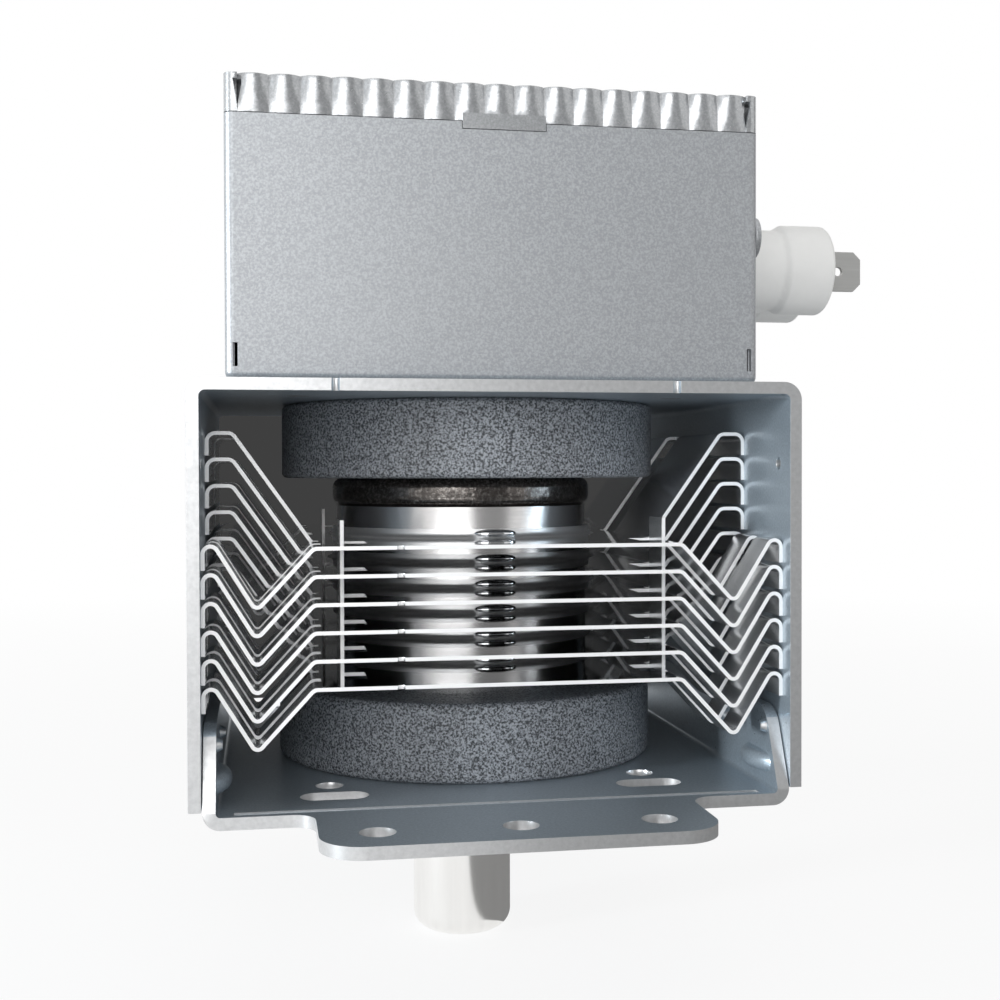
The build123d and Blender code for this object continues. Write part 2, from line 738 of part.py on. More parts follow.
def build_flange_rivets():
    """The two small rivets in the flange's ears."""
    piece = rivet(flange_rivet_radius, flange_rivet_head_radius, flange_rivet_head_height,
                  case_side - case_sheet, case_sheet + flange_sheet)
    return Compound(children=[Pos(0, side * flange_rivet_place, terminal_z) * Rot(0, 90, 0) * piece
                              for side in (-1, 1)])


def build_capacitor_body():
    """The moulded capacitor body, through the case wall, with a tower round each terminal."""
    start = case_side - body_inner_reach
    step = case_side + body_reach
    end = case_side + tower_reach
    body = extrude(side_plane(start) * capacitor_outline(body_radius), step - start)
    for side in (-1, 1):
        tower = turned((0, step), (body_radius, step), (tower_radius, step + tower_taper),
                       (tower_radius, end), (0, end))
        tower = fillet(tower.edges().filter_by(GeomType.CIRCLE).sort_by(Axis.Z)[-1], tower_round)
        body += Pos(0, side * terminal_spacing / 2, terminal_z) * Rot(0, 90, 0) * tower
    for side in (-1, 1):
        body -= round_bar(conductor_radius, (start - 1, side * terminal_spacing / 2, terminal_z),
                          (end + 1, side * terminal_spacing / 2, terminal_z))
    return body


def build_terminal(side):
    """A flat push-on blade outside, carried by a round conductor that passes through the capacitor."""
    y = side * terminal_spacing / 2
    root = case_side + tower_reach
    tip = case_side + blade_reach
    blade = Pos((root + tip) / 2, y, terminal_z) * Box(tip - root, blade_thickness, blade_height)
    blade = chamfer(blade.edges().filter_by(Axis.Y).group_by(Axis.X)[-1], blade_corner)
    blade -= (Pos(tip - blade_hole_inset, y, terminal_z) * Rot(90, 0, 0)
              * Cylinder(blade_hole_radius, 4 * blade_thickness))
    return blade + round_bar(conductor_radius, (conductor_start, y, terminal_z), (root, y, terminal_z))


def coil_axis(side):
    """The Y place of a choke's axis, which puts a turn of the coil on the terminal's line."""
    return side * (terminal_spacing / 2 + coil_radius)


def build_choke_coil(side):
    """A choke coil of enamelled copper wire, from the terminal's conductor to the lead on the stem."""
    wire = coiled_wire(coil_wire_radius, coil_radius, coil_pitch, coil_length)
    turn = Rot(0, 0, 90 if side < 0 else -90)
    coil = Pos(0, coil_axis(side), terminal_z) * Rot(0, 90, 0) * turn * wire
    y = side * terminal_spacing / 2
    first = (0, y, terminal_z)
    last = (coil_length, y, terminal_z)
    coil += [Pos(*first) * Sphere(coil_wire_radius), Pos(*last) * Sphere(coil_wire_radius)]
    coil += round_bar(coil_wire_radius, last, (conductor_start, y, terminal_z))
    return coil + round_bar(coil_wire_radius, first, (0, y, lead_top))


def build_choke_core(side):
    """The ferrite rod inside a choke coil."""
    core = Rot(0, 90, 0) * Cylinder(coil_radius - coil_wire_radius, core_length)
    return Pos(coil_length / 2, coil_axis(side), terminal_z) * core


def build_all():
    """Every piece of the magnetron by the name of its node."""
    nodes = {
        "upper_yoke": build_upper_yoke(),
        "mounting_plate": build_mounting_plate(),
        "upper_magnet": build_magnet(upper_magnet_bottom, upper_magnet_shift),
        "lower_magnet": build_magnet(plate_top, lower_magnet_shift),
        "anode_cylinder": build_anode_cylinder(),
        "anode_vanes": build_vanes(),
        "strap_rings": build_strap_rings(),
        "upper_pole_piece": build_pole_piece(anode_top, -1),
        "lower_pole_piece": build_lower_pole_piece(),
        "upper_seal_cup": build_upper_seal_cup(),
        "lower_seal_cup": build_lower_seal_cup(),
        "cathode_filament": build_filament(),
        "upper_end_hat": build_upper_end_hat(),
        "lower_end_hat": build_lower_end_hat(),
        "centre_lead": build_centre_lead(),
        "side_lead": build_side_lead(),
        "stem_insulator": build_stem_insulator(),
        "antenna_insulator": build_antenna_insulator(),
        "exhaust_tube": build_exhaust_tube(),
        "antenna_rod": build_antenna_rod(),
        "antenna_cap": build_antenna_cap(),
        "rf_gasket": build_gasket(),
        "filter_case": build_case(),
        "filter_lid": build_lid(),
        "case_rivets": build_case_rivets(),
        "capacitor_flange": build_capacitor_flange(),
        "flange_rivets": build_flange_rivets(),
        "capacitor_body": build_capacitor_body(),
        "terminal_front": build_terminal(-1),
        "terminal_rear": build_terminal(1),
        "choke_coil_front": build_choke_coil(-1),
        "choke_coil_rear": build_choke_coil(1),
        "choke_core_front": build_choke_core(-1),
        "choke_core_rear": build_choke_core(1),
    }
    fin = build_fin()
    top_level = anode_bottom + fin_start + (fin_count - 1) * fin_pitch
    for number in range(fin_count):
        nodes[f"fin_{number + 1}"] = Pos(0, 0, top_level - number * fin_pitch) * fin
    return nodes


os.makedirs("parts", exist_ok=True)
for name, shape in build_all().items():
    export_step(shape, f"parts/{name}.step")
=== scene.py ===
"""Dresses the magnetron's frame: finishes, formed details, lights and the camera.

All sizes are in metres. Z is up along the tube, X runs to the terminals and Y to the back.
"""

import logging
from collections.abc import Callable
from dataclasses import dataclass, field
from enum import Enum
from math import copysign, cos, pi, radians, sin

import bmesh
import bpy
from mathutils import Matrix, Vector


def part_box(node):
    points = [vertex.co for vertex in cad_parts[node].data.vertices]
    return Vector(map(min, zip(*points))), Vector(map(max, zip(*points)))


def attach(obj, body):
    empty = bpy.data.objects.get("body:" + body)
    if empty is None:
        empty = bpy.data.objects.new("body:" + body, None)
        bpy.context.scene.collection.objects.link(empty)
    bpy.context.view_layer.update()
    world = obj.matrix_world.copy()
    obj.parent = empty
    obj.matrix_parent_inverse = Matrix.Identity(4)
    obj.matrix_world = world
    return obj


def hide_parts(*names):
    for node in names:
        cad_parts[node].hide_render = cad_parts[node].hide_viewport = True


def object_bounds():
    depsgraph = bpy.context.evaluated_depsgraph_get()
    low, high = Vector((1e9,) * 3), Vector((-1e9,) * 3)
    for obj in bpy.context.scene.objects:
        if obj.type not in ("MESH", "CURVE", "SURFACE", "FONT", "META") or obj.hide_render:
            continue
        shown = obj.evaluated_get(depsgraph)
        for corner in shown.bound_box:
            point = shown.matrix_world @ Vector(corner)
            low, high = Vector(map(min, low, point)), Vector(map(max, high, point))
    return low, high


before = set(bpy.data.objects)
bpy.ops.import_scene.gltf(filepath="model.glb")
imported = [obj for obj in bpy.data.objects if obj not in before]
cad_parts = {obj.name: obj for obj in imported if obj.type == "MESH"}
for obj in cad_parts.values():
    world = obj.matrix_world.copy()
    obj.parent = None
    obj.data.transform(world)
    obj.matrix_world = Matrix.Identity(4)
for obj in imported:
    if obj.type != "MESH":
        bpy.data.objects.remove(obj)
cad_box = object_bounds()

log = logging.getLogger("magnetron")

MM = 0.001
BODY = "root"

# Points of a CAD mesh that lie closer than this are one, and faces that turn by less are flat.
MERGE_GAP = 0.0005 * MM
FLAT_TURN = radians(0.5)

# How much of a face's normal lies along an axis where the face counts as looking that way.
FACING = 0.75
LEVEL = 0.999
NEARLY_LEVEL = 0.99
UPRIGHT = 0.5

Colour = tuple[float, float, float, float]
Socket = bpy.types.NodeSocket


class Grain(Enum):
    """How a surface's grain lies, as the stretch of its pattern along X, Y and Z."""

    EVEN = (1.0, 1.0, 1.0)
    ALONG_X = (0.04, 1.0, 1.0)
    ALONG_Z = (1.0, 1.0, 0.04)
    ROUND_Z = (0.5, 0.5, 3.0)


class NodeTree:
    """Adds nodes to a shader tree and joins them.

    Attributes:
        FIRST_COLOUR: the Mix node's input for its first colour.
        SECOND_COLOUR: its input for the second colour.
        MIXED_COLOUR: its output for the colour.
        tree: the tree that the nodes go to.
    """

    FIRST_COLOUR = 6
    SECOND_COLOUR = 7
    MIXED_COLOUR = 2

    def __init__(self, tree: bpy.types.NodeTree) -> None:
        """Keeps the tree that the nodes go to."""
        self.tree = tree

    def add(self, kind: str, **settings: object) -> bpy.types.Node:
        """Adds a node.

        Args:
            kind: the node's type name.
            settings: properties of the node, by name.

        Returns:
            The new node.
        """
        node = self.tree.nodes.new(kind)
        for name, value in settings.items():
            setattr(node, name, value)
        return node

    def feed(self, target: Socket, source: Socket | float | Colour | tuple[float, ...]) -> None:
        """Links a socket to a target, or sets the target's own value."""
        if isinstance(source, bpy.types.NodeSocket):
            self.tree.links.new(source, target)
        else:
            target.default_value = source

    def maths(self, operation: str, first: Socket | float, second: Socket | float = 0.0) -> Socket:
        """Adds a Math node.

        Args:
            operation: the node's operation.
            first: the first value or socket.
            second: the second value or socket.

        Returns:
            The result's socket.
        """
        node = self.add("ShaderNodeMath", operation=operation)
        self.feed(node.inputs[0], first)
        self.feed(node.inputs[1], second)
        return node.outputs[0]

    def mix(self, factor: Socket | float, first: Socket | Colour,
            second: Socket | Colour) -> Socket:
        """Mixes two colours.

        Args:
            factor: the share of the second colour.
            first: the colour at factor zero.
            second: the colour at factor one.

        Returns:
            The mixed colour's socket.
        """
        node = self.add("ShaderNodeMix", data_type="RGBA")
        self.feed(node.inputs["Factor"], factor)
        self.feed(node.inputs[self.FIRST_COLOUR], first)
        self.feed(node.inputs[self.SECOND_COLOUR], second)
        return node.outputs[self.MIXED_COLOUR]

    def spread(self, value: Socket, low: Socket | float, high: Socket | float, start: float,
               end: float) -> Socket:
        """Maps a value from one range to another, held at both ends.

        Args:
            value: the socket to map.
            low: the value that gives start.
            high: the value that gives end.
            start: the result at and below low.
            end: the result at and above high.

        Returns:
            The mapped value's socket.
        """
        node = self.add("ShaderNodeMapRange")
        sources = {"Value": value, "From Min": low, "From Max": high, "To Min": start,
                   "To Max": end}
        for name, source in sources.items():
            self.feed(node.inputs[name], source)
        return node.outputs[0]

    def seen_share(self) -> Socket:
        """One where the camera, a reflection or a clear pane sees the surface, or else zero."""
        path = self.add("ShaderNodeLightPath")
        share = self.maths("MAXIMUM", path.outputs["Is Camera Ray"], path.outputs["Is Glossy Ray"])
        return self.maths("MAXIMUM", share, path.outputs["Is Transmission Ray"])

    def noise(self, vector: Socket, scale: Socket, detail: float, roughness: float) -> Socket:
        """Adds a noise texture and returns its value's socket."""
        node = self.add("ShaderNodeTexNoise")
        self.feed(node.inputs["Vector"], vector)
        self.feed(node.inputs["Scale"], scale)
        node.inputs["Detail"].default_value = detail
        node.inputs["Roughness"].default_value = roughness
        return node.outputs[0]

    def glow(self, strength: float = 1.0) -> Socket:
        """Adds a plain white light and returns its shader's socket."""
        node = self.add("ShaderNodeEmission")
        node.inputs["Strength"].default_value = strength
        return node.outputs[0]

    def blend(self, share: Socket, first: Socket, second: Socket) -> Socket:
        """Mixes two shaders.

        Args:
            share: the share of the second shader.
            first: the shader at share zero.
            second: the shader at share one.

        Returns:
            The mixed shader's socket.
        """
        node = self.add("ShaderNodeMixShader")
        for number, source in enumerate((share, first, second)):
            self.feed(node.inputs[number], source)
        return node.outputs[0]

    def show(self, shader: Socket) -> None:
        """Makes a shader the material's surface."""
        self.feed(self.tree.nodes["Material Output"].inputs[0], shader)


def new_material(name: str) -> tuple[bpy.types.Material, NodeTree]:
    """Makes a material.

    Args:
        name: the material's name.

    Returns:
        The material and its nodes.
    """
    material = bpy.data.materials.new(name)
    material.use_nodes = True
    return material, NodeTree(material.node_tree)


class GroupLibrary:
    """Builds each shared node group once.

    Attributes:
        FINE_NOISE: the detail and the roughness of the fine grain.
        COARSE_NOISE: the same of the slow drift.
        SPECK_NOISE: the same of the specks.
        FINE_SHARE: how much of the tone is fine grain.
        COARSE_SHARE: how much of the tone is slow drift.
        MIDDLE: the middle of a noise texture's values.
    """

    FINE_NOISE = (3.0, 0.6)
    COARSE_NOISE = (2.0, 0.5)
    SPECK_NOISE = (2.0, 0.65)
    FINE_SHARE = 0.65
    COARSE_SHARE = 0.35
    MIDDLE = 0.5

    @staticmethod
    def begin(name: str, inputs: dict[str, str],
              outputs: tuple[str, ...]) -> tuple[NodeTree, bpy.types.Node, bpy.types.Node]:
        """Makes a group with its sockets.

        Args:
            name: the group's name.
            inputs: each input's name with its kind, Float or Vector.
            outputs: the outputs' names, all of them plain values.

        Returns:
            The group's nodes, the node that gives its inputs and the one that takes its outputs.
        """
        group = bpy.data.node_groups.new(name, "ShaderNodeTree")
        for socket, kind in inputs.items():
            group.interface.new_socket(socket, in_out="INPUT", socket_type=f"NodeSocket{kind}")
        for socket in outputs:
            group.interface.new_socket(socket, in_out="OUTPUT", socket_type="NodeSocketFloat")
        nodes = NodeTree(group)
        return nodes, nodes.add("NodeGroupInput"), nodes.add("NodeGroupOutput")

    @classmethod
    def surface_grain(cls) -> bpy.types.NodeTree:
        """A mottled grain: a fine pattern on a slow drift of tone.

        Returns:
            The group, with the inputs Stretch, Fine, Coarse and Contrast and the outputs Tone
            and Height.
        """
        name = "surface_grain"
        if name in bpy.data.node_groups:
            return bpy.data.node_groups[name]
        inputs = {"Stretch": "Vector", "Fine": "Float", "Coarse": "Float", "Contrast": "Float"}
        nodes, inlet, outlet = cls.begin(name, inputs, ("Tone", "Height"))
        place = nodes.add("ShaderNodeTexCoord").outputs["Object"]
        stretch = nodes.add("ShaderNodeVectorMath", operation="MULTIPLY")
        nodes.feed(stretch.inputs[0], place)
        nodes.feed(stretch.inputs[1], inlet.outputs["Stretch"])
        fine = nodes.noise(stretch.outputs[0], inlet.outputs["Fine"], *cls.FINE_NOISE)
        coarse = nodes.noise(place, inlet.outputs["Coarse"], *cls.COARSE_NOISE)
        both = nodes.maths("ADD", nodes.maths("MULTIPLY", fine, cls.FINE_SHARE),
                           nodes.maths("MULTIPLY", coarse, cls.COARSE_SHARE))
        swing = nodes.maths("MULTIPLY", nodes.maths("SUBTRACT", both, cls.MIDDLE),
                            inlet.outputs["Contrast"])
        clamp = nodes.add("ShaderNodeClamp")
        nodes.feed(clamp.inputs["Value"], nodes.maths("ADD", swing, cls.MIDDLE))
        nodes.feed(outlet.inputs["Tone"], clamp.outputs[0])
        nodes.feed(outlet.inputs["Height"], fine)
        return nodes.tree

    @classmethod
    def speckle(cls) -> bpy.types.NodeTree:
        """Small pale specks of many sizes on a dark ground.

        Returns:
            The group, with the inputs Size, Cover and Edge and the output Mask.
        """
        name = "speckle"
        if name in bpy.data.node_groups:
            return bpy.data.node_groups[name]
        inputs = {"Size": "Float", "Cover": "Float", "Edge": "Float"}
        nodes, inlet, outlet = cls.begin(name, inputs, ("Mask",))
        place = nodes.add("ShaderNodeTexCoord").outputs["Object"]
        scale = nodes.maths("DIVIDE", 1.0, inlet.outputs["Size"])
        specks = nodes.noise(place, scale, *cls.SPECK_NOISE)
        raised = nodes.maths("ADD", specks,
                             nodes.maths("SUBTRACT", inlet.outputs["Cover"], cls.MIDDLE))
        low = nodes.maths("SUBTRACT", cls.MIDDLE, inlet.outputs["Edge"])
        high = nodes.maths("ADD", cls.MIDDLE, inlet.outputs["Edge"])
        nodes.feed(outlet.inputs["Mask"], nodes.spread(raised, low, high, 0.0, 1.0))
        return nodes.tree


@dataclass(frozen=True)
class Finish:
    """A finish whose colour, roughness and relief follow a mottled grain.

    Attributes:
        name: the material's name, which no slot of the record has.
        slot: the record's material slot; not used.
        dark: the colour of the grain's low tone.
        light: the colour of the grain's high tone.
        metallic: how metallic the surface is.
        smooth: the roughness where the tone is high.
        rough: the roughness where the tone is low.
        grain: how the grain lies.
        fine: cells of the fine grain per metre.
        coarse: cells of the slow drift per metre.
        contrast: how far the grain swings between the two tones.
        relief: the height of the grain in metres.
    """

    name: str
    slot: str
    dark: Colour
    light: Colour
    metallic: float
    smooth: float
    rough: float
    grain: Grain = Grain.EVEN
    fine: float = 1600.0
    coarse: float = 60.0
    contrast: float = 2.2
    relief: float = 0.02 * MM

    def material(self) -> bpy.types.Material:
        """Makes the material, or finds the one already made.

        Returns:
            The material.
        """
        if self.name in bpy.data.materials:
            return bpy.data.materials[self.name]
        material, nodes = new_material(self.name)
        shader = material.node_tree.nodes["Principled BSDF"]
        shader.inputs["Metallic"].default_value = self.metallic
        grain = nodes.add("ShaderNodeGroup", node_tree=GroupLibrary.surface_grain())
        settings = {"Stretch": self.grain.value, "Fine": self.fine, "Coarse": self.coarse,
                    "Contrast": self.contrast}
        for name, value in settings.items():
            nodes.feed(grain.inputs[name], value)
        colour = nodes.mix(grain.outputs["Tone"], self.dark, self.light)
        nodes.feed(shader.inputs["Base Color"], self.tint(nodes, colour))
        nodes.feed(shader.inputs["Roughness"],
                   nodes.spread(grain.outputs["Tone"], 0.0, 1.0, self.rough, self.smooth))
        bump = nodes.add("ShaderNodeBump")
        bump.inputs["Distance"].default_value = self.relief
        bump.inputs["Strength"].default_value = 1.0
        nodes.feed(bump.inputs["Height"], grain.outputs["Height"])
        nodes.feed(shader.inputs["Normal"], bump.outputs[0])
        return material

    def tint(self, nodes: NodeTree, colour: Socket) -> Socket:
        """Gives a finish the chance to add to its colour; a plain one leaves it."""
        return colour


@dataclass(frozen=True)
class SpeckledFinish(Finish):
    """A grainy finish with pale specks over it.

    Attributes:
        speck: the specks' colour.
        speck_size: the size of a speck in metres.
        cover: the share of the surface that the specks cover, about one half at 0.5.
        edge: how soft the specks' edges are.
    """

    speck: Colour = (1.0, 1.0, 1.0, 1.0)
    speck_size: float = 1.0 * MM
    cover: float = 0.5
    edge: float = 0.06

    def tint(self, nodes: NodeTree, colour: Socket) -> Socket:
        """Lays the specks over the grain's colour.

        Args:
            nodes: the material's node tree.
            colour: the grain's colour.

        Returns:
            The colour with its specks.
        """
        specks = nodes.add("ShaderNodeGroup", node_tree=GroupLibrary.speckle())
        settings = {"Size": self.speck_size, "Cover": self.cover, "Edge": self.edge}
        for name, value in settings.items():
            nodes.feed(specks.inputs[name], value)
        return nodes.mix(specks.outputs["Mask"], colour, self.speck)


ZINC_CASE = SpeckledFinish("zinc_case", "zinc_steel", (0.28, 0.29, 0.305, 1),
                           (0.38, 0.39, 0.405, 1), metallic=0.55, smooth=0.36, rough=0.46,
                           fine=2600, coarse=30, contrast=1.4, relief=0.010 * MM,
                           speck=(0.43, 0.445, 0.46, 1), speck_size=0.30 * MM, cover=0.46,
                           edge=0.12)
ZINC_LID = SpeckledFinish("zinc_lid", "zinc_steel", (0.34, 0.35, 0.36, 1), (0.46, 0.47, 0.48, 1),
                          metallic=0.70, smooth=0.20, rough=0.30, fine=2600, coarse=30,
                          contrast=1.4, relief=0.006 * MM, speck=(0.52, 0.53, 0.54, 1),
                          speck_size=0.30 * MM, cover=0.46, edge=0.14)
ZINC_YOKE = SpeckledFinish("zinc_yoke", "zinc_steel", (0.32, 0.375, 0.42, 1),
                           (0.43, 0.495, 0.55, 1), metallic=0.60, smooth=0.24, rough=0.36,
                           fine=2200, coarse=30, contrast=1.3, relief=0.006 * MM,
                           speck=(0.47, 0.535, 0.59, 1), speck_size=0.32 * MM, cover=0.44,
                           edge=0.14)
# Bare steel of the cut edges, made lighter than the zinc so it also paints the highlight these
# edges catch.
CUT_STEEL_HIGHLIGHT = Finish("cut_steel_highlight", "zinc_steel", (0.50, 0.505, 0.51, 1), (0.72, 0.725, 0.73, 1),
                   metallic=0.85, smooth=0.26, rough=0.38, fine=1500, coarse=50, contrast=1.8,
                   relief=0.010 * MM)
FERRITE = SpeckledFinish("pressed_ferrite", "ferrite", (0.016, 0.018, 0.021, 1),
                         (0.050, 0.055, 0.062, 1), metallic=0.0, smooth=0.45, rough=0.65, fine=1800,
                         coarse=40, contrast=2.0, relief=0.03 * MM, speck=(0.34, 0.36, 0.39, 1),
                         speck_size=0.30 * MM, cover=0.50, edge=0.10)
ALUMINIUM = Finish("rolled_aluminium", "fin_aluminium", (0.70, 0.72, 0.74, 1),
                   (0.86, 0.87, 0.88, 1), metallic=0.95, smooth=0.16, rough=0.28,
                   grain=Grain.ALONG_X, fine=1500, coarse=50, contrast=1.2, relief=0.003 * MM)
PLATE_ALUMINIUM = Finish("mirror_plate", "fin_aluminium", (0.78, 0.79, 0.80, 1),
                         (0.88, 0.885, 0.89, 1), metallic=1.0, smooth=0.03, rough=0.07,
                         grain=Grain.ALONG_X, fine=900, coarse=40, contrast=1.2, relief=0.0005 * MM)
COLLAR_ALUMINIUM = Finish("drawn_collar", "fin_aluminium", (0.74, 0.74, 0.745, 1),
                          (0.88, 0.88, 0.88, 1), metallic=0.95, smooth=0.36, rough=0.46,
                          grain=Grain.ROUND_Z, fine=900, coarse=40, contrast=1.2, relief=0.003 * MM)
CUT_ALUMINIUM = Finish("cut_fin_edge", "fin_aluminium", (0.88, 0.88, 0.88, 1),
                       (0.97, 0.97, 0.97, 1), metallic=0.25, smooth=0.30, rough=0.42, fine=1500,
                       coarse=50, contrast=1.2, relief=0.004 * MM)
BRIGHT_ALUMINIUM = Finish("seam_aluminium", "fin_aluminium", (0.72, 0.73, 0.75, 1),
                          (0.88, 0.89, 0.90, 1), metallic=1.0, smooth=0.05, rough=0.10,
                          grain=Grain.ALONG_X, fine=1500, coarse=50, contrast=1.0,
                          relief=0.001 * MM)
BRIGHT_NICKEL = Finish("bright_nickel", "nickel_iron", (0.66, 0.66, 0.67, 1), (0.80, 0.80, 0.80, 1),
                       metallic=1.0, smooth=0.08, rough=0.20, grain=Grain.ROUND_Z, fine=900,
                       coarse=40, contrast=1.4, relief=0.004 * MM)
POLISHED_COPPER = Finish("tube_wall", "copper", (0.66, 0.65, 0.65, 1), (0.80, 0.79, 0.78, 1),
                         metallic=1.0, smooth=0.18, rough=0.28, grain=Grain.ROUND_Z, fine=900,
                         coarse=40, contrast=1.4, relief=0.004 * MM)
COPPER = Finish("bare_copper", "copper", (0.72, 0.36, 0.22, 1), (0.90, 0.52, 0.36, 1), metallic=1.0,
                smooth=0.20, rough=0.36, fine=1200, coarse=60, contrast=1.2, relief=0.008 * MM)
DARK_OXIDE = SpeckledFinish("dark_oxide", "dark_iron", (0.045, 0.040, 0.037, 1),
                            (0.16, 0.145, 0.135, 1), metallic=0.9, smooth=0.16, rough=0.28,
                            fine=450, coarse=150, contrast=2.2, relief=0.14 * MM,
                            speck=(0.36, 0.34, 0.32, 1), speck_size=0.5 * MM, cover=0.34, edge=0.20)
TUNGSTEN = Finish("drawn_tungsten", "tungsten", (0.20, 0.20, 0.21, 1), (0.34, 0.34, 0.35, 1),
                  metallic=0.9, smooth=0.30, rough=0.50, fine=1500, contrast=1.4)
CERAMIC = Finish("fired_ceramic", "white_ceramic", (0.76, 0.74, 0.70, 1), (0.86, 0.84, 0.80, 1),
                 metallic=0.0, smooth=0.45, rough=0.62, fine=1400, contrast=1.2, relief=0.01 * MM)
CAP_STEEL = Finish("cap_steel", "stainless_cap", (0.84, 0.83, 0.81, 1), (0.96, 0.95, 0.93, 1),
                   metallic=0.95, smooth=0.14, rough=0.24, grain=Grain.ALONG_Z, fine=900, coarse=60,
                   contrast=1.4, relief=0.004 * MM)
CAPACITOR = Finish("cream_moulding", "cream_plastic", (0.86, 0.86, 0.845, 1),
                   (0.92, 0.92, 0.905, 1), metallic=0.0, smooth=0.38, rough=0.52, fine=700,
                   coarse=60, contrast=1.2, relief=0.012 * MM)
TINNED = Finish("tin_plate", "tinned_blade", (0.43, 0.43, 0.42, 1), (0.58, 0.58, 0.57, 1),
                metallic=0.85, smooth=0.30, rough=0.46, grain=Grain.ALONG_X, fine=1000,
                contrast=1.6, relief=0.008 * MM)
BRAID = Finish("knitted_wire", "gasket_wire", (0.46, 0.46, 0.45, 1), (0.72, 0.72, 0.70, 1),
               metallic=1.0, smooth=0.25, rough=0.40, fine=900, contrast=2.0, relief=0.01 * MM)
# A dark copy of the wire's finish for the core under the wires: painted shade between and beneath
# them.
BRAID_SHADE_CORE = Finish("knitted_shade_core", "gasket_wire", (0.05, 0.05, 0.05, 1), (0.14, 0.14, 0.135, 1),
                    metallic=0.8, smooth=0.45, rough=0.60, fine=900, contrast=2.0, relief=0.03 * MM)
CHOKE_FERRITE = Finish("core_ferrite", "choke_ferrite", (0.03, 0.03, 0.03, 1),
                       (0.07, 0.07, 0.075, 1), metallic=0.0, smooth=0.40, rough=0.60, fine=1500,
                       contrast=1.4, relief=0.02 * MM)


class Piece:
    """A mesh of its own, dressed and tied to the frame."""

    def __init__(self, name: str, mesh: bmesh.types.BMesh, finish: Finish,
                 crease: float = 35.0) -> None:
        """Makes the object.

        Args:
            name: the piece's name.
            mesh: the finished shape, in the row frame.
            finish: the piece's finish.
            crease: edges turning by more than this many degrees stay sharp.
        """
        for face in mesh.faces:
            face.smooth = True
        for edge in mesh.edges:
            edge.smooth = edge.calc_face_angle(0.0) < radians(crease)
        data = bpy.data.meshes.new(name)
        mesh.to_mesh(data)
        mesh.free()
        data.materials.append(finish.material())
        self.thing = bpy.data.objects.new(name, data)
        bpy.context.scene.collection.objects.link(self.thing)
        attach(self.thing, BODY)
        self.thing.modifiers.new("flat_faces", "WEIGHTED_NORMAL").keep_sharp = True
        log.info("%s: %d faces", name, len(data.polygons))

    def instead_of(self, *nodes: str) -> None:
        """Hides these CAD nodes, so the piece shows in their place."""
        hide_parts(*nodes)

    def bare(self, finish: Finish, is_bare: Callable[[bpy.types.MeshPolygon], bool]) -> None:
        """Gives some faces another finish, such as where the sheet was cut.

        Args:
            finish: the finish of those faces.
            is_bare: tells whether a face is one of them.
        """
        data = self.thing.data
        data.materials.append(finish.material())
        for face in data.polygons:
            if is_bare(face):
                face.material_index = len(data.materials) - 1


def faces_an_end(face: bpy.types.MeshPolygon) -> bool:
    """Whether a face looks to the front or to the back, as the cut edges of sheet do."""
    return abs(face.normal.y) > FACING


@dataclass
class DressedNode:
    """A CAD solid with its edges broken and its finish on.

    Attributes:
        node: the CAD node's name.
        finish: the finish.
        edge: the width of the broken edges in metres, or zero to leave them sharp.
        corner: edges turning by more than this many degrees are broken.
        beyond: edges nearer to the tube's axis than this many metres stay as they are.
        steps: how many faces make up a broken edge.
    """

    node: str
    finish: Finish
    edge: float = 0.0
    corner: float = 40.0
    beyond: float = 0.0
    steps: int = 2

    def shape(self) -> bmesh.types.BMesh:
        """Copies the node's mesh, merges it and breaks its edges.

        Returns:
            The new shape.
        """
        mesh = bmesh.new()
        mesh.from_mesh(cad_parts[self.node].data)
        bmesh.ops.remove_doubles(mesh, verts=mesh.verts, dist=MERGE_GAP)
        bmesh.ops.dissolve_limit(mesh, angle_limit=FLAT_TURN, verts=mesh.verts, edges=mesh.edges)
        if self.edge:
            sharp = [e for e in mesh.edges
                     if e.is_manifold and e.calc_face_angle(0.0) > radians(self.corner)
                     and min(vert.co.xy.length for vert in e.verts) > self.beyond]
            bmesh.ops.bevel(mesh, geom=sharp, offset=self.edge, offset_type="OFFSET",
                            segments=self.steps, profile=0.5, affect="EDGES",
                            clamp_overlap=True, material=-1)
        return mesh

    def build(self) -> Piece:
        """Builds the piece and hides its node."""
        piece = Piece(f"{self.node}_dressed", self.shape(), self.finish)
        piece.instead_of(self.node)
        return piece


@dataclass
class Yoke:
    """The folded steel channel and the mounting plate.

    Attributes:
        edge: the width of the broken edges.
        sheet: the thickness of the plate.
        flat_half_width: half the width of the plate between its upright flanges.
    """

    edge: float = 0.16 * MM
    sheet: float = 1.6 * MM
    flat_half_width: float = 36.0 * MM

    def build(self) -> None:
        """Builds both channels, with bare steel where the sheet was cut, made lighter than the zinc
        as a painted highlight on those edges.
        """
        DressedNode("upper_yoke", ZINC_YOKE, self.edge).build().bare(CUT_STEEL_HIGHLIGHT, faces_an_end)
        DressedNode("mounting_plate", ZINC_YOKE, self.edge).build().bare(CUT_STEEL_HIGHLIGHT, self.is_cut)

    def is_cut(self, face: bpy.types.MeshPolygon) -> bool:
        """Whether a face of the mounting plate is a cut edge or the wall of a hole."""
        is_in_plate = face.center.z < self.sheet and abs(face.center.x) < self.flat_half_width
        return faces_an_end(face) or is_in_plate and abs(face.normal.z) < UPRIGHT


